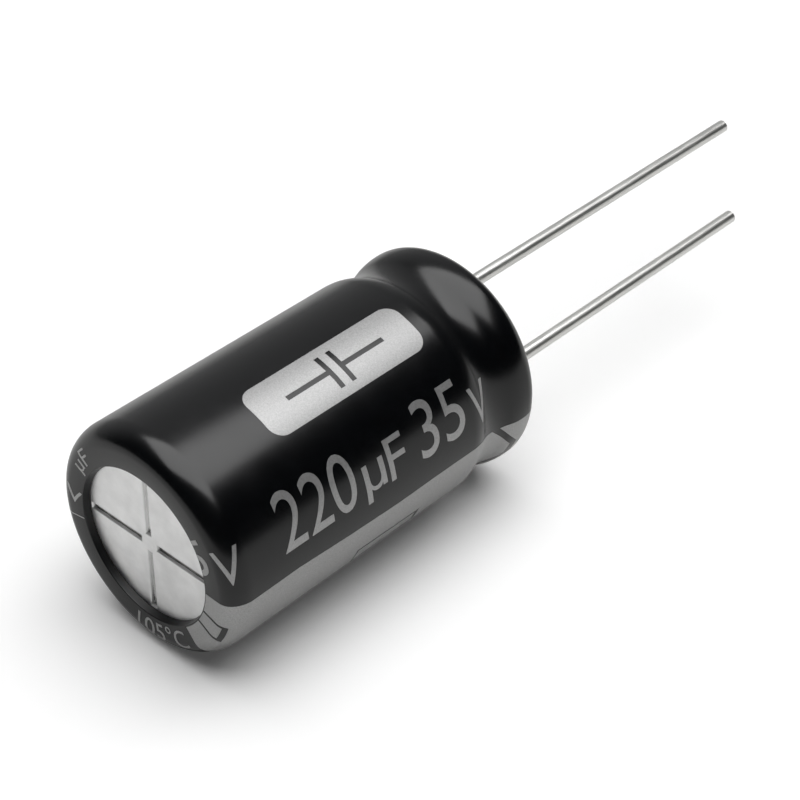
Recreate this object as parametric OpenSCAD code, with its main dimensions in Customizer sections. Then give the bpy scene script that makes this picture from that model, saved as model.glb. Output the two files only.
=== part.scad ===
// Aluminium electrolytic capacitor with radial leads, standing on its vented end.
// Z runs up the axis, from the plane of the sleeve's lower fold to the tips of the leads.
// Both leads stand in the XZ plane, the positive one at +X and the negative one at -X.

/* [Case] */
// Outer diameter of the drawn aluminium case
case_d = 8.0; // [7.4:0.1:9.6]
// Wall of the case
case_wall = 0.22; // [0.18:0.01:0.23]
// Thickness of the closed end that carries the vent
floor_t = 0.35; // [0.3:0.01:0.5]
// Outer corner radius of the closed end
corner_r = 0.55; // [0.4:0.05:0.8]
// Width of the curl's outer half, from the case wall to its crest
curl_out = 0.79; // [0.7:0.01:1.1]
// Width of the curl's inner half, which turns down into the rubber
curl_in = 0.38; // [0.38:0.02:0.6]
// Height of the curl
curl_h = 0.58; // [0.5:0.02:0.6]
// Angle through which the rim is curled
curl_turn = 165; // [150:5:170]

/* [Bead] */
// Width of the bead rolled into the case
bead_w = 2.7; // [2.2:0.1:3]
// Depth of that bead
bead_depth = 0.62; // [0.5:0.02:0.7]
// Straight run of case wall between the bead and the curl
bead_land = 0.08; // [0.04:0.02:0.4]

/* [Sleeve] */
// Length of the body over the sleeve, without the leads
body_len = 14.7; // [12:0.1:20]
// Wall of the shrunk sleeve
sleeve_t = 0.13; // [0.1:0.01:0.16]
// Thickness of the fold over the vented end
fold_t = 0.25; // [0.2:0.01:0.4]
// Width of the fold, from the sleeve's outer wall to the edge of the opening over the vent
fold_w = 1.29; // [1:0.01:1.6]
// Slope of the fold's cut edge, as the step in radius from its foot to its top
fold_slope = 0.06; // [0:0.02:0.2]
// Rounding where that cut edge meets the fold's outer face
fold_lip = 0.04; // [0.02:0.01:0.1]
// Width of the sleeve's rounded outer corner at the vented end
fold_corner_w = 0.66; // [0.5:0.02:0.8]
// Height of that corner
fold_corner_h = 0.88; // [0.7:0.02:1.1]
// Depth of the sleeve where it bridges the bead
sleeve_dip = 0.3; // [0.2:0.02:0.5]
// Angle through which the sleeve follows the curl
sleeve_turn = 125; // [100:5:140]

/* [Vent] */
// Width of a score line at the surface
score_w = 0.34; // [0.2:0.02:0.5]
// Width of the flat at the bottom of a score line
score_flat = 0.08; // [0.06:0.02:0.2]
// Depth of the score lines
score_depth = 0.14; // [0.08:0.01:0.18]
// Rounding of a score line's lips
score_lip = 0.08; // [0.02:0.01:0.1]
// Slope at which those lips run out into the sides
score_lip_turn = 50; // [30:5:60]
// Radius of the land left uncut where the score lines would cross
score_land = 0.3; // [0.2:0.05:0.5]
// Distance from a score line's outer end to the edge of the opening
score_margin = 0.08; // [0:0.02:0.5]
// Turn of the cross from the plane of the leads
score_turn = -18; // [-45:1:45]

/* [Bung] */
// Height of the rubber bung at its middle
bung_h = 3.4; // [3.2:0.1:4]
// Distance from the top of the body down to the bung's outer face
bung_drop = 0.75; // [0.7:0.05:1]
// Angle through which the rubber fills the curl
bung_turn = 140; // [120:5:145]

/* [Leads] */
// Diameter of the tinned lead wires
lead_d = 0.5; // [0.4:0.05:0.8]
// Distance between the two lead wires
lead_pitch = 3.5; // [3.2:0.1:4]
// Length of the positive lead beyond the body
positive_len = 18.5; // [5:0.1:30]
// Length of the negative lead beyond the body
negative_len = 14.6; // [5:0.1:30]
// Chamfer at the cut end of a lead
lead_chamfer = 0.06; // [0:0.02:0.1]
// Diameter of the weld where the wire joins its tab
weld_d = 0.9; // [0.8:0.05:1.1]
// Height of that weld
weld_h = 0.4; // [0.2:0.05:0.6]
// Height of the weld's straight edge, below its cone
weld_edge_h = 0.1; // [0.05:0.05:0.15]
// Depth of the weld's top below the bung's outer face
weld_sink = 0.12; // [0.04:0.02:0.4]

/* [Tabs] */
// Diameter of the round aluminium post in the bung
post_d = 1.2; // [1:0.1:1.4]
// Thickness of the flattened paddle
paddle_t = 0.2; // [0.15:0.01:0.22]
// Half of the angle that the paddle spans round the roll
paddle_half_angle = 29; // [15:1:30]
// Height of the taper between post and paddle
taper_h = 0.6; // [0.4:0.1:0.7]
// Diameter of the taper's tip, which the paddle runs into
taper_tip_d = 0.4; // [0.3:0.05:0.6]
// Distance from the foil's lower edge up to the paddle's end
paddle_foot = 0.5; // [0.2:0.1:1]
// Diameter of the cold-weld dimples that fix paddle and foil
dimple_d = 0.5; // [0.3:0.05:0.7]
// Depth of those dimples at their middle
dimple_depth = 0.05; // [0.02:0.01:0.1]
// Number of dimples on each paddle
dimples = 3; // [2:1:4]

/* [Roll] */
// Thickness of the etched anode foil
anode_t = 0.1; // [0.08:0.01:0.12]
// Thickness of the cathode foil
cathode_t = 0.04; // [0.03:0.01:0.06]
// Thickness of each separator paper
paper_t = 0.05; // [0.04:0.01:0.06]
// Clearance between neighbouring layers
layer_gap = 0.015; // [0.01:0.005:0.02]
// Clearance between a paddle and the turns beside it
paddle_gap = 0.06; // [0.04:0.01:0.1]
// Radius of the open core left by the winding pin
core_r = 0.65; // [0.5:0.05:0.8]
// Thickness of the tape that closes the roll
tape_t = 0.05; // [0.03:0.01:0.06]
// Height that the papers stand out beyond the foils at each end
paper_lap = 0.45; // [0.3:0.05:0.8]
// Space between the roll and the bung, where the tabs pass
head_space = 1.15; // [1.1:0.05:1.4]
// Space between the finished roll and the case wall
roll_gap = 0.06; // [0.04:0.01:0.2]

/* [Hidden] */
$fn = 72;

// Clearance between pieces that lie against each other
fit = 0.02;
// Reach of a cutting shape past the face that it cuts
past = 0.1;

case_r = case_d / 2;
sleeve_r = case_r + fit + sleeve_t;
case_z = fold_t + fit;
curl_x = case_r - curl_out;
curl_z = body_len - sleeve_t - fit - curl_h;
bead_z = curl_z - bead_land - bead_w / 2;
bung_top = body_len - bung_drop;
bung_bottom = bung_top - bung_h;
fold_r = sleeve_r - fold_w;

// Rounded stretches of an outline, as points on a circle; skip leaves out the first points
function arc(x, z, r, from, to, steps = 9, skip = 0) =
    [for (i = [skip:steps]) let (a = from + (to - from) * i / steps) [x + r * cos(a), z + r * sin(a)]];

// Quarter of an ellipse from the fold's flat up to the sleeve's wall
function fold_corner() =
    [for (i = [0:9]) let (a = 10 * i)
        [sleeve_r - fold_corner_w * (1 - sin(a)), fold_corner_h * (1 - cos(a))]];

function reversed(points) = [for (i = [len(points) - 1:-1:0]) points[i]];

// Bead in a wall of radius r: shoulder, root and shoulder, each tangent to the next.
// The whole outline is grown outwards by off.
function bead(r, depth, off) =
    let (bend = (pow(bead_w / 2, 2) + pow(depth, 2)) / (4 * depth),
         turn = acos(1 - depth / (2 * bend)),
         shoulder = bend + off,
         root = bend - off,
         low = bead_z - bead_w / 2,
         high = bead_z + bead_w / 2)
    concat(
        arc(r - bend, low, shoulder, 0, turn, 6),
        arc(r - depth + bend, bead_z, root, 180 + turn, 180 - turn, 12, 1),
        arc(r - bend, high, shoulder, -turn, 0, 6, 1));

// Side of the case from the corner to the curl, grown outwards by off
function case_side(off) = bead(case_r, bead_depth, off);

// Curl over the bung, flatter outside its crest than inside, grown outwards by off
function curl(off, turn) =
    [for (i = [0:round(turn / 8)])
        let (a = turn * i / round(turn / 8),
             w = a > 90 ? curl_in : curl_out,
             n = [cos(a) / w, sin(a) / curl_h])
        [curl_x + w * cos(a), curl_z + curl_h * sin(a)] + off * n / norm(n)];

// Outline of the whole case from the middle of its floor, grown outwards by off
function case_outside(off) = concat(
    [[0, case_z - off]],
    arc(case_r - corner_r, case_z + corner_r, corner_r + off, -90, 0),
    case_side(off),
    curl(off, curl_turn));

inner_corner = corner_r - case_wall;
function case_inside() = concat(
    [[0, case_z + floor_t]],
    arc(case_r - corner_r, case_z + floor_t + inner_corner, inner_corner, -90, 0),
    case_side(-case_wall),
    curl(-case_wall, curl_turn));

// Section of a score line, from its mouth on the floor's outer face to the flat at its bottom
module groove(from, to, slope) {
    polygon(concat(
        arc(from, score_lip, score_lip, -90, score_lip_turn - 90, 5),
        [[from + slope, score_depth], [to - slope, score_depth]],
        arc(to, score_lip, score_lip, -90 - score_lip_turn, -90, 5)));
}

// One score line along +X, with rounded lips and sloping sides and ends
module score_line() {
    reach = fold_r - score_margin;
    side = score_w / 2;
    slope = side - score_flat / 2;
    intersection() {
        rotate([90, 0, 90]) linear_extrude(reach) groove(-side, side, slope);
        translate([0, side, 0]) rotate([90, 0, 0]) linear_extrude(score_w) groove(score_land, reach, slope);
    }
}

module case() {
    color("gainsboro") difference() {
        rotate_extrude() polygon(concat(case_outside(0), reversed(case_inside())));
        translate([0, 0, case_z]) for (i = [0:3]) rotate(score_turn + 90 * i) score_line();
    }
}

// The shrunk tube: fold over the vented end, side that bridges the bead, turn over the curl
module sleeve() {
    outside = concat(
        [[fold_r - fold_slope, fold_t]],
        arc(fold_r + fold_lip, fold_lip, fold_lip, 180, 270, 3),
        fold_corner(),
        bead(sleeve_r, sleeve_dip, 0),
        curl(fit + sleeve_t, sleeve_turn));
    inside = concat(
        arc(case_r - corner_r, case_z + corner_r, corner_r + fit, -90, 0),
        bead(sleeve_r, sleeve_dip, -sleeve_t),
        curl(fit, sleeve_turn));
    color("#151719") rotate_extrude() polygon(concat(outside, reversed(inside)));
}

// Each bung hole is wide for the post and its weld, and narrow for the wire above them
weld_top = bung_top - weld_sink;
weld_z = weld_top - weld_h;
module bung() {
    off = -case_wall - fit;
    grip = curl(off, bung_turn);
    tuck_r = grip[len(grip) - 1][0];
    color("#2b2b2b") difference() {
        rotate_extrude() polygon(concat(
            [[0, bung_bottom]],
            [[case_r + off, bung_bottom]],
            case_side(off),
            grip,
            [[tuck_r, bung_top], [0, bung_top]]));
        for (side = [-1, 1]) translate([side * lead_pitch / 2, 0, bung_bottom - past]) {
            cylinder(d = post_d + 2 * fit, h = weld_top + past - bung_bottom);
            cylinder(d = lead_d + 2 * fit, h = bung_h + 2 * past);
        }
    }
}

module lead(length) {
    r = lead_d / 2;
    tip = body_len + length;
    color("silver") rotate_extrude() polygon([
        [0, weld_z], [weld_d / 2, weld_z], [weld_d / 2, weld_z + weld_edge_h], [r, weld_top - fit],
        [r, tip - lead_chamfer], [r - lead_chamfer, tip], [0, tip]]);
}

module positive_lead() { translate([lead_pitch / 2, 0, 0]) lead(positive_len); }
module negative_lead() { translate([-lead_pitch / 2, 0, 0]) lead(negative_len); }

// The roll: anode, paper, cathode and paper wound together as one spiral of half turns.
// Even half turns lie at +X about the axis, odd ones at -X about a centre half a pitch lower.
anode_at = 0;
inner_paper_at = anode_at + anode_t + layer_gap;
cathode_at = inner_paper_at + paper_t + layer_gap;
outer_paper_at = cathode_at + cathode_t + layer_gap;
half_pitch = (outer_paper_at + paper_t + layer_gap) / 2;
paddle_room = paddle_t + paddle_gap;
roll_limit = case_r - case_wall - roll_gap - paddle_room - tape_t;
last_half = floor((roll_limit - core_r) / half_pitch) - 2;
anode_half = 2 * round((lead_pitch / 2 - paddle_t / 2 - layer_gap - anode_t - core_r) / (2 * half_pitch));
cathode_half = 2 * round((lead_pitch / 2 - paddle_t / 2 - layer_gap - cathode_at - cathode_t - core_r)
                         / (2 * half_pitch) - 0.5) + 1;

// The roll stands where its widest radius clears the rounding inside the case's floor
roll_r = half_r(last_half) + 2 * half_pitch - layer_gap + paddle_room;
corner_reach = max(0, roll_r + fit - (case_r - corner_r));
roll_foot = inner_corner - sqrt(max(0, pow(inner_corner, 2) - pow(corner_reach, 2)));
roll_z = case_z + floor_t + fit + roll_foot;
roll_top = bung_bottom - head_space;

function side_of(k) = k % 2 == 0 ? 1 : -1;
function centre_y(k) = k % 2 == 0 ? 0 : -half_pitch;
function half_r(k) = core_r + k * half_pitch;
// Sideways shift of a layer that runs outside a paddle, which makes the roll a little oval
function shift(k, at) =
    k % 2 == 0
        ? (k > anode_half || (k == anode_half && at > anode_at) ? paddle_room : 0)
        : (k > cathode_half || (k == cathode_half && at > cathode_at) ? -paddle_room : 0);

module half_turn(k, at, t) {
    r = half_r(k) + at;
    dx = shift(k, at);
    big = r + t + 1;
    translate([dx, centre_y(k)]) intersection() {
        difference() {
            circle(r + t);
            circle(r);
        }
        translate([side_of(k) > 0 ? 0 : -big, -big]) square([big, 2 * big]);
    }
    if (dx != 0) for (y = [r, -r - t])
        translate([min(0, dx), centre_y(k) + y]) square([abs(dx), t]);
}

// The papers lead and outrun the foils, and the cathode outruns the anode
foil_start = 1;
cathode_end = last_half - 1;
anode_end = last_half - 2;

module strip(at, t, first, last, z0, z1) {
    translate([0, 0, z0]) linear_extrude(z1 - z0) for (k = [first:last]) half_turn(k, at, t);
}

foil_z = roll_z + paper_lap;
foil_top = roll_top - paper_lap;
module anode_foil() { color("#b9bcc0") strip(anode_at, anode_t, foil_start, anode_end, foil_z, foil_top); }
module cathode_foil() {
    color("#d3d5d8") strip(cathode_at, cathode_t, foil_start, cathode_end, foil_z, foil_top);
}
module inner_paper() { color("#d9c9a3") strip(inner_paper_at, paper_t, 0, last_half, roll_z, roll_top); }
module outer_paper() { color("#d1bf95") strip(outer_paper_at, paper_t, 0, last_half, roll_z, roll_top); }
module winding_tape() {
    color("#e6d79a") strip(anode_at, tape_t, last_half + 1, last_half + 2, foil_z, foil_top);
}

// A lead terminal: post in the bung, taper, and a paddle bent to the roll against its foil
module tab(k, foil_outside) {
    side = side_of(k);
    inner = half_r(k) + foil_outside + layer_gap;
    outer = inner + paddle_t;
    taper_z = bung_bottom - taper_h;
    paddle_z = foil_z + paddle_foot;
    paddle_top = taper_z + taper_h / 2;
    dimple_step = (foil_top - paddle_z) / (dimples + 1);
    far = 2 * outer;
    slope = tan(paddle_half_angle);
    color("#c4c7ca") {
        difference() {
            translate([0, centre_y(k), paddle_z]) linear_extrude(paddle_top - paddle_z) intersection() {
                difference() {
                    circle(outer);
                    circle(inner);
                }
                polygon([[0, 0], [side * far, far * slope], [side * far, -far * slope]]);
            }
            for (i = [1:dimples])
                translate([side * (outer - dimple_depth), centre_y(k), paddle_z + i * dimple_step])
                    rotate([0, side * 90, 0]) cylinder(d = dimple_d, h = far);
        }
        translate([side * lead_pitch / 2, 0, taper_z]) cylinder(d1 = taper_tip_d, d2 = post_d, h = taper_h);
        translate([side * lead_pitch / 2, 0, bung_bottom]) cylinder(d = post_d, h = weld_z - bung_bottom);
    }
}

module anode_tab() { tab(anode_half, anode_t); }
module cathode_tab() { tab(cathode_half, cathode_at + cathode_t); }

case();
sleeve();
bung();
positive_lead();
negative_lead();
anode_tab();
cathode_tab();
anode_foil();
cathode_foil();
inner_paper();
outer_paper();
winding_tape();
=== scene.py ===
"""Looks of a radial aluminium electrolytic capacitor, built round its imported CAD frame.

The capacitor lies on its side in the picture, its vented end towards the viewer. Its own frame stands it
on that end: Z runs up the axis to the tips of the leads. Sizes here are in millimetres unless a name
or a subtype says otherwise, and angles round the can are in degrees.
"""
import math

import bmesh
import bpy
from mathutils import Matrix, Vector


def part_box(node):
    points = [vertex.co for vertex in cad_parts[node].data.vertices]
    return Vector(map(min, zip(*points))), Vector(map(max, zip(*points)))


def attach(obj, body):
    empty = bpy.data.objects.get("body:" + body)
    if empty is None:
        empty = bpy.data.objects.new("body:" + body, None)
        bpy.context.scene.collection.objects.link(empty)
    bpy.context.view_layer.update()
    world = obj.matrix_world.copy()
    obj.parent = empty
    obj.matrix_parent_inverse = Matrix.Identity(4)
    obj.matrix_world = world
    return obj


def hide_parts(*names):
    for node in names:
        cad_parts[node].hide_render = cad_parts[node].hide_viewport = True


bl_info = {
    "name": "Electrolytic Capacitor Looks",
    "version": (1, 0, 0),
    "blender": (4, 5, 0),
    "location": "View3D > Sidebar > Capacitor",
    "description": "Sleeve, print, metal and studio for a radial electrolytic capacitor",
    "category": "Object",
}

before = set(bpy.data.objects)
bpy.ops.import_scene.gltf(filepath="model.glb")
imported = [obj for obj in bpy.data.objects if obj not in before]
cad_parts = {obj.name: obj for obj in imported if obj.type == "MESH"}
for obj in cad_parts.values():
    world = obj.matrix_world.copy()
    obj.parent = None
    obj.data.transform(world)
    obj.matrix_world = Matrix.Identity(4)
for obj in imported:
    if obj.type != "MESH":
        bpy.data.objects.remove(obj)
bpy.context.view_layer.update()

MM = 0.001
BODY = "root"
# An edge that turns by more degrees than this stays sharp
SHARP_FROM = 35
CASE_LOW, CASE_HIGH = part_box("case")
SLEEVE_LOW, SLEEVE_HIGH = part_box("sleeve")


def in_mm(length):
    """A length of the frame, which is in metres, as millimetres without the rounding of a mesh file."""
    return round(length / MM, 3)


def linear(hex_colour):
    """An sRGB hex colour as the linear numbers that shaders and colour properties hold."""
    digits = hex_colour.lstrip("#")
    channels = [int(digits[i:i + 2], 16) / 255 for i in (0, 2, 4)]
    return tuple(c / 12.92 if c <= 0.04045 else ((c + 0.055) / 1.055) ** 2.4 for c in channels)


def size(name, description, default):
    """A size in millimetres that the sidebar shows."""
    return bpy.props.FloatProperty(name=name, description=description, default=default, min=0, precision=3)


def turn(name, description, default):
    """An angle in degrees that the sidebar shows."""
    return bpy.props.FloatProperty(name=name, description=description, default=default, precision=1)


def colour(name, description, default):
    """A colour from its sRGB hex value."""
    return bpy.props.FloatVectorProperty(
        name=name, description=description, subtype="COLOR", size=3, min=0, max=1, default=linear(default))


class CapacitorSleeve(bpy.types.PropertyGroup):
    """Sizes of the shrunk tube. They repeat the outline of the solid that it stands for."""

    radius: size("Radius", "Outer radius of the sleeve", in_mm(SLEEVE_HIGH.x))
    case_radius: size("Case radius", "Outer radius of the can inside", in_mm(CASE_HIGH.x))
    body_length: size("Body length", "From the lower fold to the top of the curl", in_mm(SLEEVE_HIGH.z))
    wall: size("Wall", "Wall of the shrunk tube", 0.13)
    fit: size("Fit", "Clearance between the tube and the can", 0.02)
    fold: size("Fold", "Thickness of the fold over the vented end", 0.25)
    fold_width: size("Fold width", "From the outer wall to the edge of the opening", 1.29)
    fold_slope: size("Cut slope", "Step in radius of the sloped cut edge", 0.06)
    fold_lip: size("Cut rounding", "Rounding where the cut edge meets the outer face", 0.04)
    corner_width: size("Corner width", "Width of the rounded outer corner", 0.66)
    corner_height: size("Corner height", "Height of the rounded outer corner", 0.88)
    case_corner: size("Can corner", "Corner radius of the can inside", 0.55)
    bead_width: size("Bead width", "Width of the bead below the curl", 2.7)
    bead_depth: size("Bead depth", "Depth of the tube where it bridges the bead", 0.3)
    bead_land: size("Bead land", "Straight wall between bead and curl", 0.08)
    curl_outer: size("Curl outer half", "Width of the curl outside its crest", 0.79)
    curl_inner: size("Curl inner half", "Width of the curl inside its crest", 0.38)
    curl_height: size("Curl height", "Height of the curl", 0.58)
    curl_turn: turn("Curl turn", "How far the tube follows the curl", 125)
    segments: bpy.props.IntProperty(name="Segments", description="Facets round the tube", default=192, min=24)


class CapacitorPrint(bpy.types.PropertyGroup):
    """Generic print in silver ink: a plain rating, a polarity stripe and a bare panel with a symbol."""

    film_bottom: size("Ink bottom", "How deep the ink film is bedded in the tube", 0.002)
    film_top: size("Ink top", "How far the ink film stands proud", 0.005)
    line: size("Line", "Width of the thin lines in the print", 0.05)
    capacitance: bpy.props.StringProperty(
        name="Capacitance", description="Number before the unit", default="220")
    voltage: bpy.props.StringProperty(name="Voltage", description="Number before the unit", default="35")
    warmth: bpy.props.StringProperty(name="Temperature", description="Highest temperature", default="105°C")
    stripe_at: turn("Stripe", "Middle of the polarity stripe, round from the positive lead", -170.7)
    repeat: size("Repeat", "Distance after which the printed tube repeats its rating", 11.5)


class CapacitorColours(bpy.types.PropertyGroup):
    """Colours that a user may change."""

    film: colour("Sleeve", "Black of the shrunk tube", "#050608")
    ink: colour("Ink", "Silver grey of the print", "#acacac")
    aluminium: colour("Aluminium", "Bare drawn can", "#f6f6f6")
    tin: colour("Tin", "Tinned wire", "#f2f2ef")
    rubber: colour("Rubber", "Sealing bung", "#232221")
    etched: colour("Etched foil", "Dull grey of the etched anode foil", "#9c9d9b")
    plain: colour("Plain foil", "Brighter cathode foil", "#c4c5c3")
    paper: colour("Paper", "Separator paper soaked with electrolyte", "#cdb98c")
    tape: colour("Tape", "Tape round the roll", "#b0762c")


class CapacitorStage(bpy.types.PropertyGroup):
    """Studio: a pale floor under the lying can, a softbox overhead and a dim room."""

    floor: colour("Floor", "Pale floor", "#d8d8d7")
    softbox: bpy.props.FloatProperty(
        name="Softbox", description="Radiance of the softbox", default=3.1, min=0)
    height: size("Softbox height", "Height of the softbox over the floor", 300)


def settings():
    """The property groups that the scene holds."""
    return bpy.context.scene.capacitor


class CapacitorSettings(bpy.types.PropertyGroup):
    """All sizes and colours of the capacitor's looks."""

    sleeve: bpy.props.PointerProperty(type=CapacitorSleeve)
    print: bpy.props.PointerProperty(type=CapacitorPrint)
    colours: bpy.props.PointerProperty(type=CapacitorColours)
    stage: bpy.props.PointerProperty(type=CapacitorStage)


# Outline of the tube

def arc(x, z, radius, start, end, steps, skip=0):
    """Points on a circle between two angles, without the first few where skip says so."""
    angles = [math.radians(start + (end - start) * i / steps) for i in range(skip, steps + 1)]
    return [(x + radius * math.cos(a), z + radius * math.sin(a)) for a in angles]


def fold_corner(s, steps=24):
    """Quarter of an ellipse from the fold's flat up to the wall."""
    angles = [math.pi / 2 * i / steps for i in range(steps + 1)]
    return [(s.radius - s.corner_width * (1 - math.sin(a)), s.corner_height * (1 - math.cos(a)))
            for a in angles]


def curl_z(s):
    """Height of the middle of the curl."""
    return s.body_length - s.wall - s.fit - s.curl_height


def bead(s, offset):
    """Shoulder, root and shoulder of the bead, each tangent to the next, moved outwards by offset."""
    half = s.bead_width / 2
    middle = curl_z(s) - s.bead_land - half
    bend = (half ** 2 + s.bead_depth ** 2) / (4 * s.bead_depth)
    swing = math.degrees(math.acos(1 - s.bead_depth / (2 * bend)))
    return (arc(s.radius - bend, middle - half, bend + offset, 0, swing, 12)
            + arc(s.radius - s.bead_depth + bend, middle, bend - offset, 180 + swing, 180 - swing, 24, 1)
            + arc(s.radius - bend, middle + half, bend + offset, -swing, 0, 12, 1))


def curl(s, offset, steps=25):
    """The tube's turn over the curl, flatter outside the crest than inside it, moved outwards by offset."""
    centre = s.case_radius - s.curl_outer
    points = []
    for i in range(steps + 1):
        a = math.radians(s.curl_turn * i / steps)
        width = s.curl_outer if a <= math.pi / 2 else s.curl_inner
        normal = Vector((math.cos(a) / width, math.sin(a) / s.curl_height)).normalized() * offset
        x = centre + width * math.cos(a)
        z = curl_z(s) + s.curl_height * math.sin(a)
        points.append((x + normal.x, z + normal.y))
    return points


def outside(s):
    """Outer outline, from the foot of the fold's cut edge to the last of the curl."""
    opening = s.radius - s.fold_width
    lip = s.fold_lip
    return ([(opening - s.fold_slope, s.fold)] + arc(opening + lip, lip, lip, 180, 270, 3)
            + fold_corner(s) + bead(s, 0) + curl(s, s.fit + s.wall))


def inside(s):
    """Inner outline, which lies on the can with a small clearance."""
    corner = s.case_corner
    return (arc(s.case_radius - corner, s.fold + s.fit + corner, corner + s.fit, -90, 0, 9)
            + bead(s, -s.wall) + curl(s, s.fit))


# Meshes

def finish(name, bm, material, replaced=()):
    """Turns a bmesh in millimetres into a smooth piece of the capacitor with its material."""
    bmesh.ops.scale(bm, vec=(MM, MM, MM), verts=bm.verts)
    mesh = bpy.data.meshes.new(name)
    bm.to_mesh(mesh)
    bm.free()
    mesh.shade_smooth()
    mesh.set_sharp_from_angle(angle=math.radians(SHARP_FROM))
    mesh.materials.append(material)
    piece = bpy.data.objects.new(name, mesh)
    bpy.context.scene.collection.objects.link(piece)
    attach(piece, BODY)
    if replaced:
        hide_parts(*replaced)


def dress(node, material):
    """Gives a CAD node its material."""
    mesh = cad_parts[node].data
    mesh.materials.clear()
    mesh.materials.append(material)


def flat_mesh(curve):
    """The filled mesh of a flat curve or text, and nothing else left behind."""
    curve.dimensions = "2D"
    curve.fill_mode = "BOTH"
    shape = bpy.data.objects.new(curve.name, curve)
    bpy.context.scene.collection.objects.link(shape)
    graph = bpy.context.evaluated_depsgraph_get()
    mesh = bpy.data.meshes.new_from_object(shape.evaluated_get(graph))
    bpy.data.objects.remove(shape)
    bpy.data.curves.remove(curve)
    bm = bmesh.new()
    bm.from_mesh(mesh)
    bpy.data.meshes.remove(mesh)
    bmesh.ops.remove_doubles(bm, verts=bm.verts, dist=1e-6)
    return bm


def flat_shape(name, *outlines):
    """A flat shape with those outlines. Each one that lies inside another is a hole in it."""
    curve = bpy.data.curves.new(name, "CURVE")
    for outline in outlines:
        spline = curve.splines.new("POLY")
        spline.points.add(len(outline) - 1)
        for point, (x, y) in zip(spline.points, outline):
            point.co = (x, y, 0, 1)
        spline.use_cyclic_u = True
    return flat_mesh(curve)


def flat_text(body, width, height):
    """Plain type, stretched to a box whose lower left corner is the origin."""
    text = bpy.data.curves.new("type", "FONT")
    text.body = body
    text.resolution_u = 6
    bm = flat_mesh(text)
    low = Vector([min(v.co[i] for v in bm.verts) for i in range(3)])
    high = Vector([max(v.co[i] for v in bm.verts) for i in range(3)])
    bmesh.ops.translate(bm, vec=-low, verts=bm.verts)
    bmesh.ops.scale(bm, vec=(width / (high.x - low.x), height / (high.y - low.y), 1), verts=bm.verts)
    return bm


def lay(bm, along, around, quarters=0):
    """Turns a flat shape by quarter turns about its origin and moves that to its place on the film."""
    turned = Matrix.Rotation(math.pi / 2 * quarters, 3, "Z")
    bmesh.ops.rotate(bm, cent=(0, 0, 0), matrix=turned, verts=bm.verts)
    bmesh.ops.translate(bm, vec=(along, around, 0), verts=bm.verts)
    return bm


class Tube:
    """The tube's outer face, as the film of print lies on it.

    A place on it is a distance along the outline from the start of the straight wall, and a distance
    round the wall from the middle of the stripe, upwards in the picture. Both are in millimetres.
    """

    def __init__(self, s, zero):
        self.radius = s.radius
        self.zero = math.radians(zero)
        self.step = 2 * math.pi / s.segments
        self.degree = math.radians(1) * s.radius
        self.points = [Vector(p) for p in outside(s)]
        self.along = [0.0]
        for a, b in zip(self.points, self.points[1:]):
            self.along.append(self.along[-1] + (b - a).length)
        start = next(d for d, p in zip(self.along, self.points) if p.y >= s.corner_height)
        self.along = [d - start for d in self.along]
        sides = [b - a for a, b in zip(self.points, self.points[1:])]
        normals = [Vector((side.y, -side.x)).normalized() for side in sides]
        self.normals = [(a + b).normalized() for a, b in zip([normals[0]] + normals, normals + [normals[-1]])]
        margin = 0.02
        self.foot = next(d for d, p in zip(self.along, self.points) if p.y < 1e-6) + margin
        self.end = self.along[-1] - margin

    def cut(self, bm):
        """Trims a flat shape to the tube and cuts it wherever a facet of the tube ends."""
        def slice_at(value, axis, **clear):
            normal = Vector((axis == 0, axis == 1, 0))
            geometry = bm.verts[:] + bm.edges[:] + bm.faces[:]
            bmesh.ops.bisect_plane(
                bm, geom=geometry, dist=1e-6, plane_co=normal * value, plane_no=normal, **clear)

        def span(axis):
            places = [v.co[axis] for v in bm.verts]
            return min(places), max(places)

        slice_at(self.foot, 0, clear_inner=True)
        slice_at(self.end, 0, clear_outer=True)
        low, high = span(0)
        for value in self.along:
            if low < value < high:
                slice_at(value, 0)
        low, high = span(1)
        first = math.ceil((self.zero - high / self.radius) / self.step)
        last = math.floor((self.zero - low / self.radius) / self.step)
        for i in range(first, last + 1):
            slice_at(self.radius * (self.zero - i * self.step), 1)

    def place(self, along, around, height):
        """Where a point of the film comes to lie, at that height over the tube's facets."""
        i = next((k for k, d in enumerate(self.along) if k and d >= along), len(self.along) - 1)
        share = (along - self.along[i - 1]) / (self.along[i] - self.along[i - 1])
        point = self.points[i - 1].lerp(self.points[i], share)
        point += self.normals[i - 1].lerp(self.normals[i], share) * height
        turns = (self.zero - around / self.radius) / self.step
        first = math.floor(turns)
        a, b = first * self.step, (first + 1) * self.step
        out = Vector((math.cos(a), math.sin(a))).lerp(Vector((math.cos(b), math.sin(b))), turns - first)
        return Vector((point.x * out.x, point.x * out.y, point.y))

    def wrap(self, bm, bottom, top):
        """Lays a flat shape on the tube as a closed film of ink between two heights."""
        self.cut(bm)
        film = bmesh.ops.extrude_face_region(bm, geom=bm.faces[:], use_keep_orig=True)
        raised = [g for g in film["geom"] if isinstance(g, bmesh.types.BMVert)]
        bmesh.ops.translate(bm, vec=(0, 0, 1), verts=raised)
        for v in bm.verts:
            v.co = self.place(v.co.x, v.co.y, top if v.co.z > 0.5 else -bottom)
        bmesh.ops.recalc_face_normals(bm, faces=bm.faces)
        return bm


def join(parts):
    """One bmesh that holds several."""
    whole = bmesh.new()
    for part in parts:
        mesh = bpy.data.meshes.new("part")
        part.to_mesh(mesh)
        part.free()
        whole.from_mesh(mesh)
        bpy.data.meshes.remove(mesh)
    return whole


# Materials

# Noise lies mostly between these values
NOISE_SPAN = {"From Min": 0.3, "From Max": 0.7}


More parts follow.
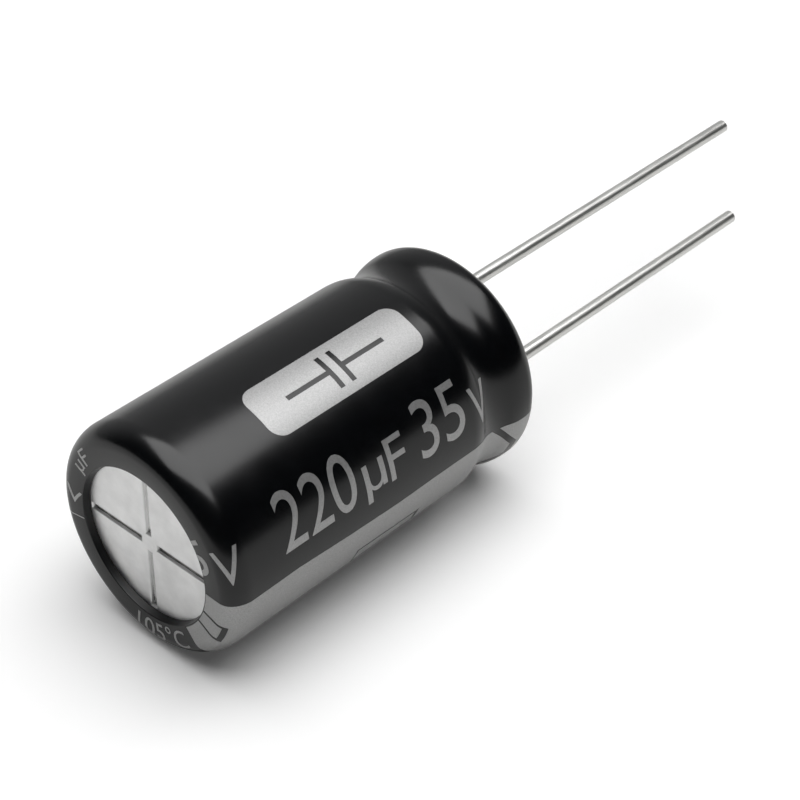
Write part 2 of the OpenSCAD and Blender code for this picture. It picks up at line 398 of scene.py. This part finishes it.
def node(tree, kind, inputs=(), **options):
    """Adds a node with its options. An input is a number, a colour or another node's output."""
    made = tree.nodes.new(kind)
    for option, value in options.items():
        setattr(made, option, value)
    for name, value in dict(inputs).items():
        if isinstance(value, bpy.types.NodeSocket):
            tree.links.new(value, made.inputs[name])
        else:
            made.inputs[name].default_value = value
    return made


def rgba(tint, factor=1.0):
    """A linear colour, made darker or lighter, with its alpha."""
    return (*[min(1, c * factor) for c in tint], 1)


def surface(name, **values):
    """A new material, its node tree and its shader with those socket values."""
    material = bpy.data.materials.new(name)
    material.use_nodes = True
    tree = material.node_tree
    shader = tree.nodes["Principled BSDF"]
    for socket, value in values.items():
        shader.inputs[socket].default_value = value
    return material, tree, shader


def place(tree, stretch=(1, 1, 1)):
    """Object coordinates in millimetres. A number under 1 draws a pattern out along its axis."""
    where = node(tree, "ShaderNodeTexCoord").outputs["Object"]
    scale = [k / MM for k in stretch]
    return node(tree, "ShaderNodeMapping", {"Vector": where, "Scale": scale}).outputs["Vector"]


def grain(tree, grain_mm, detail=2.0, stretch=(1, 1, 1)):
    """A pattern of noise whose lumps are about that many millimetres across."""
    pattern = {"Vector": place(tree, stretch), "Scale": 1 / grain_mm, "Detail": detail}
    return node(tree, "ShaderNodeTexNoise", pattern).outputs["Fac"]


def mottled(tree, pattern, tint, dark, light):
    """A tint that goes with a pattern from darker to lighter."""
    share = node(tree, "ShaderNodeMapRange", {"Value": pattern, **NOISE_SPAN}).outputs["Result"]
    tints = {0: share, 6: rgba(tint, dark), 7: rgba(tint, light)}
    return node(tree, "ShaderNodeMix", tints, data_type="RGBA").outputs[2]


def finish_surface(tree, shader, pattern, tint, tones, roughness):
    """Lets the colour and the roughness go with a pattern, each between two values."""
    tree.links.new(mottled(tree, pattern, tint, *tones), shader.inputs["Base Color"])
    low, high = roughness
    rough = node(tree, "ShaderNodeMapRange", {"Value": pattern, **NOISE_SPAN, "To Min": low, "To Max": high})
    tree.links.new(rough.outputs["Result"], shader.inputs["Roughness"])


def emboss(tree, shader, pattern, strength, depth_mm):
    """Raises the surface with a pattern."""
    bump = node(tree, "ShaderNodeBump", {"Height": pattern, "Strength": strength, "Distance": depth_mm * MM})
    tree.links.new(bump.outputs["Normal"], shader.inputs["Normal"])


def shrink_film(tint, opening):
    """Shrunk PVC film: nearly black and glossy, faintly rippled, and dull where a knife cut its edge."""
    material, tree, shader = surface("shrunk_pvc_film", IOR=1.5)
    tree.links.new(mottled(tree, grain(tree, 0.3), tint, 0.8, 1.2), shader.inputs["Base Color"])
    gloss = node(tree, "ShaderNodeMapRange", {
        "Value": grain(tree, 0.9), **NOISE_SPAN, "To Min": 0.2, "To Max": 0.24}).outputs["Result"]
    flat = node(tree, "ShaderNodeVectorMath", {0: place(tree), 1: (1, 1, 0)}, operation="MULTIPLY")
    radius = node(tree, "ShaderNodeVectorMath", {0: flat.outputs[0]}, operation="LENGTH").outputs["Value"]
    cut = node(tree, "ShaderNodeMapRange", {
        "Value": radius, "From Min": opening - 0.01, "From Max": opening + 0.04,
        "To Min": 0.45, "To Max": 0}).outputs["Result"]
    rough = node(tree, "ShaderNodeMath", {0: gloss, 1: cut}, operation="MAXIMUM")
    tree.links.new(rough.outputs[0], shader.inputs["Roughness"])
    emboss(tree, shader, grain(tree, 1.1, 1.0, (1, 1, 0.4)), 0.25, 0.004)
    return material


def silver_ink(tint):
    """Printing ink with fine aluminium flake: satin grey, and sandy where it catches the light."""
    material, tree, shader = surface("silver_flake_ink", Metallic=0.65, IOR=1.5)
    finish_surface(tree, shader, grain(tree, 0.045, 3.0), tint, (0.82, 1.16), (0.34, 0.44))
    return material


def drawn_aluminium(tint, face):
    """Drawn pure aluminium: cloudy satin. The score lines have walls darkened with painted shade, and a
    burnished bottom.
    """
    material, tree, shader = surface("drawn_aluminium", Metallic=1.0)
    clouds = grain(tree, 0.8, 4.0)
    satin = mottled(tree, clouds, tint, 0.86, 1.04)
    # Behind the face the lips end at 0.04 mm, and the walls run down to 0.11 mm. The walls between them get
    # painted shade: their tint falls to 0.75.
    depth = node(tree, "ShaderNodeSeparateXYZ", {"Vector": place(tree)}).outputs["Z"]
    lip = node(tree, "ShaderNodeMapRange", {
        "Value": depth, "From Min": face + 0.01, "From Max": face + 0.04,
        "To Min": 1, "To Max": 0.75}).outputs["Result"]
    bottom = node(tree, "ShaderNodeMapRange", {
        "Value": depth, "From Min": face + 0.11, "From Max": face + 0.135,
        "To Min": 0.75, "To Max": 1}).outputs["Result"]
    # Painted shade in the grooves: the tint is darker on the walls between the lip and the bottom
    painted_groove_shade = node(tree, "ShaderNodeMath", {0: lip, 1: bottom}, operation="MAXIMUM").outputs[0]
    metal = node(tree, "ShaderNodeVectorMath", {0: satin, "Scale": painted_groove_shade}, operation="SCALE")
    tree.links.new(metal.outputs[0], shader.inputs["Base Color"])
    rough = node(tree, "ShaderNodeMapRange", {
        "Value": clouds, **NOISE_SPAN, "To Min": 0.3, "To Max": 0.42}).outputs["Result"]
    coined = node(tree, "ShaderNodeMapRange", {
        "Value": depth, "From Min": face + 0.05, "From Max": face + 0.13,
        "To Min": 1, "To Max": 0.25}).outputs["Result"]
    rough = node(tree, "ShaderNodeMath", {0: rough, 1: coined}, operation="MULTIPLY")
    tree.links.new(rough.outputs[0], shader.inputs["Roughness"])
    emboss(tree, shader, grain(tree, 0.05), 0.15, 0.002)
    return material


def tinned_wire(tint):
    """Tinned copper-clad steel wire: bright, with fine draw lines along it."""
    material, tree, shader = surface("tinned_wire", Metallic=1.0)
    lines = grain(tree, 0.03, 2.0, (1, 1, 0.02))
    finish_surface(tree, shader, lines, tint, (0.8, 1.1), (0.31, 0.41))
    emboss(tree, shader, lines, 0.15, 0.001)
    return material


def moulded_rubber(tint):
    """Moulded butyl rubber: dark and dull, with a fine tooth."""
    material, tree, shader = surface("butyl_rubber", IOR=1.52)
    tooth = grain(tree, 0.06, 3.0)
    finish_surface(tree, shader, tooth, tint, (0.75, 1.25), (0.55, 0.75))
    emboss(tree, shader, tooth, 0.5, 0.01)
    return material


def foil(name, tint, roughness, grain_mm, depth_mm):
    """Aluminium foil. Etching leaves it dull and grained, rolling leaves it brighter and lined."""
    material, tree, shader = surface(name, Metallic=1.0)
    pits = grain(tree, grain_mm, 3.0, (1, 1, 0.3))
    finish_surface(tree, shader, pits, tint, (0.85, 1.12), (roughness - 0.06, roughness + 0.06))
    emboss(tree, shader, pits, 0.4, depth_mm)
    return material


def kraft_paper(tint):
    """Thin kraft separator paper, soaked: warm tan with long fibres."""
    material, tree, shader = surface("kraft_separator", IOR=1.45)
    fibres = grain(tree, 0.05, 3.0, (1, 1, 0.15))
    finish_surface(tree, shader, fibres, tint, (0.75, 1.15), (0.6, 0.8))
    emboss(tree, shader, fibres, 0.4, 0.005)
    return material


def polyester_tape(tint):
    """Amber polyester tape with its adhesive: smooth, with slight clouds."""
    material, tree, shader = surface("polyester_tape", IOR=1.57)
    finish_surface(tree, shader, grain(tree, 0.5), tint, (0.85, 1.1), (0.25, 0.35))
    return material


# Pieces

def rectangle(x0, x1, y0, y1):
    """Corners of a rectangle."""
    return [(x0, y0), (x1, y0), (x1, y1), (x0, y1)]


def rounded(x0, x1, y0, y1, radius):
    """Outline of a rectangle with round corners."""
    left, right, low, high = x0 + radius, x1 - radius, y0 + radius, y1 - radius
    return (arc(right, low, radius, -90, 0, 8) + arc(right, high, radius, 0, 90, 8)
            + arc(left, high, radius, 90, 180, 8) + arc(left, low, radius, 180, 270, 8))


class CAPACITOR_OT_sleeve(bpy.types.Operator):
    """Spins the shrunk tube from its outline."""

    bl_idname = "capacitor.sleeve"
    bl_label = "Sleeve"

    def execute(self, context):
        s = settings().sleeve
        outline = outside(s) + inside(s)[::-1]
        bm = bmesh.new()
        ring = [bm.verts.new((x, 0, z)) for x, z in outline]
        edges = [bm.edges.new(pair) for pair in zip(ring, ring[1:] + ring[:1])]
        bmesh.ops.spin(
            bm, geom=ring + edges, axis=(0, 0, 1), angle=2 * math.pi, steps=s.segments, use_merge=True)
        bmesh.ops.remove_doubles(bm, verts=bm.verts, dist=1e-5)
        bmesh.ops.recalc_face_normals(bm, faces=bm.faces)
        film = shrink_film(settings().colours.film, s.radius - s.fold_width)
        finish("shrunk_sleeve", bm, film, ["sleeve"])
        return {"FINISHED"}


class CAPACITOR_OT_print(bpy.types.Operator):
    """Lays the generic print on the tube as thin films of ink."""

    bl_idname = "capacitor.print"
    bl_label = "Print"

    def execute(self, context):
        p = settings().print
        tube = Tube(settings().sleeve, p.stripe_at)
        flat = [*self.rating(tube, p, 0, 1), *self.rating(tube, p, -p.repeat, 0.88), self.stripe(tube, p),
                self.panel(tube, p), *self.small_print(tube, p)]
        films = [tube.wrap(shape, p.film_bottom, p.film_top) for shape in flat]
        finish("printed_ink", join(films), silver_ink(settings().colours.ink))
        return {"FINISHED"}

    @staticmethod
    def rating(tube, p, shift, shrink):
        """The large line of the rating, moved along the tube, and smaller where the tube has shrunk more."""
        # Type, start, width, degrees up to its foot, degrees tall
        line = ((p.capacitance, 1.48, 3.34, 36.4, 28.2), ("µ", 5.17, 0.95, 33.0, 19.0),
                ("F", 6.30, 0.80, 36.8, 20.6), (p.voltage, 7.79, 2.18, 36.4, 28.2),
                ("V", 10.32, 1.05, 34.4, 20.8))
        last_letter, cap_line = 10.85, 55.2
        for body, start, width, base, height in line:
            along = last_letter + (start - last_letter) * shrink + shift
            around = (cap_line + (base - cap_line) * shrink) * tube.degree
            if along + width * shrink > tube.foot:
                shape = flat_text(body, width * shrink, height * shrink * tube.degree)
                yield lay(shape, along, around)

    @staticmethod
    def stripe(tube, p):
        """The polarity stripe with a box for the minus sign and a chevron that points to the leads."""
        def spots(*pairs):
            return [(x, up * tube.degree) for x, up in pairs]

        upper = spots((13.0, 5.2), (12.04, 19.4), (13.3, 21.8), (tube.end + 1, 22.5))
        lower = spots((tube.end + 1, -23), (12.04, -23), (13.0, -5.2))
        body = spots((-3, -23), (11.7, -23), (12.72, -4.3), (12.72, 4.3), (11.66, 19.9), (10.6, 22.8),
                     (8.5, 22.8), (6.6, 22.3), (4.3, 23.3), (2, 25.0), (-0.2, 24.5), (-3, 24.5))
        box = spots((4.9, -5.6), (7.9, -4.6), (7.9, 4.8), (4.9, 5.8))
        inner = spots((4.98, -4.4), (7.72, -3.4), (7.72, 3.6), (4.98, 4.6))
        end_box = spots((-3, -5.4), (-0.77, -4.9), (-0.77, 8.8), (-3, 8.6))
        end_inner = spots((-3, -3.6), (-0.97, -3.1), (-0.97, 7.0), (-3, 6.8))
        stripe = flat_shape("stripe", body, box, inner, end_box, end_inner)
        return join([stripe, flat_shape("tail", upper + lower)])

    @staticmethod
    def panel(tube, p):
        """A plain silver panel with the circuit symbol of a capacitor left bare in it."""
        low, high = 82.3 * tube.degree, 110.3 * tube.degree
        middle = (low + high) / 2
        wire = 0.09
        gap, plate, reach = 0.16, 0.2, 0.68
        centre = 6.4
        outline = rounded(2.9, 9.9, low, high, 0.55)
        symbol = [(centre - 2.2, middle - wire), (centre - gap - plate, middle - wire),
                  (centre - gap - plate, middle - reach), (centre - gap, middle - reach),
                  (centre - gap, middle + reach), (centre - gap - plate, middle + reach),
                  (centre - gap - plate, middle + wire), (centre - 2.2, middle + wire)]
        mirrored = [(2 * centre - x, y) for x, y in symbol]
        return flat_shape("panel", outline, symbol, mirrored)

    @staticmethod
    def small_print(tube, p):
        """Type on the fold's ring, and a small line along the far side beside a fine rule."""
        up = tube.degree
        yield lay(flat_text(p.warmth, 3.0, 0.72), -0.97, -72 * up, 1)
        yield lay(flat_text("µF", 1.1, 0.72), -1.74, 178.3 * up, -1)
        small = p.capacitance + " µF " + p.voltage + " V"
        yield lay(flat_text(small, 6.2, 13.5 * up), 4.4, 210.3 * up, 2)
        yield flat_shape("rule", rectangle(-3, 20, 216.8 * up, 216.8 * up + p.line))


class CAPACITOR_OT_can(bpy.types.Operator):
    """Dresses the can and its rubber bung."""

    bl_idname = "capacitor.can"
    bl_label = "Can and bung"

    def execute(self, context):
        colours = settings().colours
        dress("case", drawn_aluminium(colours.aluminium, in_mm(CASE_LOW.z)))
        dress("bung", moulded_rubber(colours.rubber))
        return {"FINISHED"}


class CAPACITOR_OT_leads(bpy.types.Operator):
    """Dresses the two leads and the tabs that they are welded to."""

    bl_idname = "capacitor.leads"
    bl_label = "Leads and tabs"

    def execute(self, context):
        colours = settings().colours
        wire = tinned_wire(colours.tin)
        pressed = foil("pressed_aluminium", colours.aluminium, 0.38, 0.08, 0.002)
        for name in ("positive_lead", "negative_lead"):
            dress(name, wire)
        for name in ("anode_tab", "cathode_tab"):
            dress(name, pressed)
        return {"FINISHED"}


class CAPACITOR_OT_roll(bpy.types.Operator):
    """Dresses the wound element inside the can."""

    bl_idname = "capacitor.roll"
    bl_label = "Wound element"

    def execute(self, context):
        colours = settings().colours
        dress("anode_foil", foil("etched_anode_foil", colours.etched, 0.6, 0.03, 0.004))
        dress("cathode_foil", foil("plain_cathode_foil", colours.plain, 0.35, 0.05, 0.001))
        paper = kraft_paper(colours.paper)
        for name in ("inner_paper", "outer_paper"):
            dress(name, paper)
        dress("winding_tape", polyester_tape(colours.tape))
        return {"FINISHED"}


# Stage

# The floor under the lying can, as the photographed view has it: its upward direction in the part's frame
FLOOR_UP = Vector((0.31836, 0.94796, 0)).normalized()
# The viewer, in millimetres and directions of the part's frame
VIEW_FROM = (-24.237, 55.279, -31.752)
VIEW_RIGHT = Vector((-0.69485, 0.23333, 0.68025)).normalized()
VIEW_UP = Vector((0.64430, 0.62219, 0.44471)).normalized()
# Focal length over sensor width, from the photograph's perspective
LENS_MM, SENSOR_MM = 96.158, 36


class CAPACITOR_OT_stage(bpy.types.Operator):
    """Sets up the floor, the softbox, the dim room and the camera."""

    bl_idname = "capacitor.stage"
    bl_label = "Stage"

    def execute(self, context):
        self.floor(settings().stage, settings().sleeve.radius)
        self.softbox(settings().stage)
        self.room(context.scene)
        self.camera(context.scene)
        context.scene.view_settings.view_transform = "Standard"
        return {"FINISHED"}

    @staticmethod
    def axes():
        """Right, away from the viewer and up, level with the floor."""
        right = (VIEW_RIGHT - FLOOR_UP * VIEW_RIGHT.dot(FLOOR_UP)).normalized()
        return right, FLOOR_UP.cross(right), FLOOR_UP

    def floor(self, stage, radius):
        """A pale floor that the lying can touches, seen only from above."""
        right, away, up = self.axes()
        bm = bmesh.new()
        bmesh.ops.create_grid(bm, x_segments=1, y_segments=1, size=0.6)
        matrix = Matrix((right, away, up)).transposed().to_4x4()
        matrix.translation = -up * radius * MM
        bmesh.ops.transform(bm, matrix=matrix, verts=bm.verts)
        mesh = bpy.data.meshes.new("floor")
        bm.to_mesh(mesh)
        bm.free()
        floor = bpy.data.objects.new("floor", mesh)
        bpy.context.scene.collection.objects.link(floor)
        material, tree, shader = surface("matt_card", Roughness=0.9, IOR=1.3)
        seen = node(tree, "ShaderNodeLightPath").outputs["Is Camera Ray"]
        tints = {0: seen, 6: rgba(stage.floor), 7: (1, 1, 1, 1)}
        tint = node(tree, "ShaderNodeMix", tints, data_type="RGBA").outputs[2]
        tree.links.new(tint, shader.inputs["Base Color"])
        glow = node(tree, "ShaderNodeMath", {0: seen, 1: 0.06}, operation="MULTIPLY").outputs[0]
        shader.inputs["Emission Color"].default_value = (1, 1, 1, 1)
        tree.links.new(glow, shader.inputs["Emission Strength"])
        behind = node(tree, "ShaderNodeNewGeometry").outputs["Backfacing"]
        clear = node(tree, "ShaderNodeBsdfTransparent").outputs[0]
        mixed = node(tree, "ShaderNodeMixShader", {0: behind, 1: shader.outputs[0], 2: clear})
        tree.links.new(mixed.outputs[0], tree.nodes["Material Output"].inputs["Surface"])
        mesh.materials.append(material)

    def softbox(self, stage):
        """A wide softbox overhead. Its edges are where the tube's long highlights end."""
        right, away, up = self.axes()
        # To the right and away from the viewer, in parts of its height
        across = (-0.56, 0.84)
        back = (-0.44, 0.62)
        lamp = bpy.data.lights.new("softbox", "AREA")
        lamp.shape = "RECTANGLE"
        height = stage.height * MM
        lamp.size = (across[1] - across[0]) * height
        lamp.size_y = (back[1] - back[0]) * height
        lamp.energy = stage.softbox * math.pi * lamp.size * lamp.size_y
        box = bpy.data.objects.new("softbox", lamp)
        box.matrix_world = Matrix((right, away, up)).transposed().to_4x4()
        box.location = up * height + right * sum(across) / 2 * height + away * sum(back) / 2 * height
        box.visible_camera = False
        bpy.context.scene.collection.objects.link(box)

    def room(self, scene):
        """A white background for the camera. All else sees a dark room with a paler wall far behind."""
        right, away, up = self.axes()
        world = bpy.data.worlds.new("studio")
        world.use_nodes = True
        scene.world = world
        tree = world.node_tree
        direction = node(tree, "ShaderNodeTexCoord").outputs["Generated"]
        side, depth = [node(tree, "ShaderNodeVectorMath", {0: direction, 1: axis}, operation="DOT_PRODUCT")
                       .outputs["Value"] for axis in (right, away)]
        # The far wall gets paler the more a direction leads away, and fades to the right
        wall = node(tree, "ShaderNodeMapRange", {
            "Value": depth, "From Min": 0.15, "From Max": 0.75,
            "To Min": 0.02, "To Max": 0.34}).outputs["Result"]
        fade = node(tree, "ShaderNodeMapRange", {
            "Value": side, "From Min": 0.1, "From Max": 0.75,
            "To Min": 1, "To Max": 0.12}).outputs["Result"]
        dim = node(tree, "ShaderNodeMath", {0: wall, 1: fade}, operation="MULTIPLY").outputs[0]
        path = node(tree, "ShaderNodeLightPath").outputs["Is Camera Ray"]
        strength = node(tree, "ShaderNodeMix", {0: path, 2: dim, 3: 1.0}, data_type="FLOAT").outputs[0]
        tree.links.new(strength, tree.nodes["Background"].inputs["Strength"])
        tree.nodes["Background"].inputs["Color"].default_value = (1, 1, 1, 1)

    def camera(self, scene):
        """The photograph's viewing angle."""
        lens = bpy.data.cameras.new("camera")
        lens.lens = LENS_MM
        lens.sensor_width = SENSOR_MM
        lens.clip_start = 0.001
        camera = bpy.data.objects.new("camera", lens)
        back = VIEW_RIGHT.cross(VIEW_UP)
        matrix = Matrix((VIEW_RIGHT, VIEW_UP, back)).transposed().to_4x4()
        matrix.translation = Vector(VIEW_FROM) * MM
        camera.matrix_world = matrix
        scene.collection.objects.link(camera)
        scene.camera = camera


class VIEW3D_PT_capacitor(bpy.types.Panel):
    """Lists the steps and the values they use."""

    bl_label = "Capacitor"
    bl_space_type = "VIEW_3D"
    bl_region_type = "UI"
    bl_category = "Capacitor"

    def draw(self, context):
        for step in STEPS:
            self.layout.operator(step.bl_idname)
        for group in ("sleeve", "print", "colours", "stage"):
            box = self.layout.box()
            values = getattr(context.scene.capacitor, group)
            for name in values.bl_rna.properties.keys():
                if name not in ("rna_type", "name"):
                    box.prop(values, name)


STEPS = (CAPACITOR_OT_sleeve, CAPACITOR_OT_print, CAPACITOR_OT_can, CAPACITOR_OT_leads, CAPACITOR_OT_roll,
         CAPACITOR_OT_stage)
CLASSES = (CapacitorSleeve, CapacitorPrint, CapacitorColours, CapacitorStage, CapacitorSettings, *STEPS,
           VIEW3D_PT_capacitor)


def register():
    for cls in CLASSES:
        bpy.utils.register_class(cls)
    bpy.types.Scene.capacitor = bpy.props.PointerProperty(type=CapacitorSettings)


def unregister():
    del bpy.types.Scene.capacitor
    for cls in reversed(CLASSES):
        bpy.utils.unregister_class(cls)


def main():
    register()
    bpy.ops.capacitor.sleeve()
    bpy.ops.capacitor.print()
    bpy.ops.capacitor.can()
    bpy.ops.capacitor.leads()
    bpy.ops.capacitor.roll()
    bpy.ops.capacitor.stage()


if __name__ == "__main__":
    main()
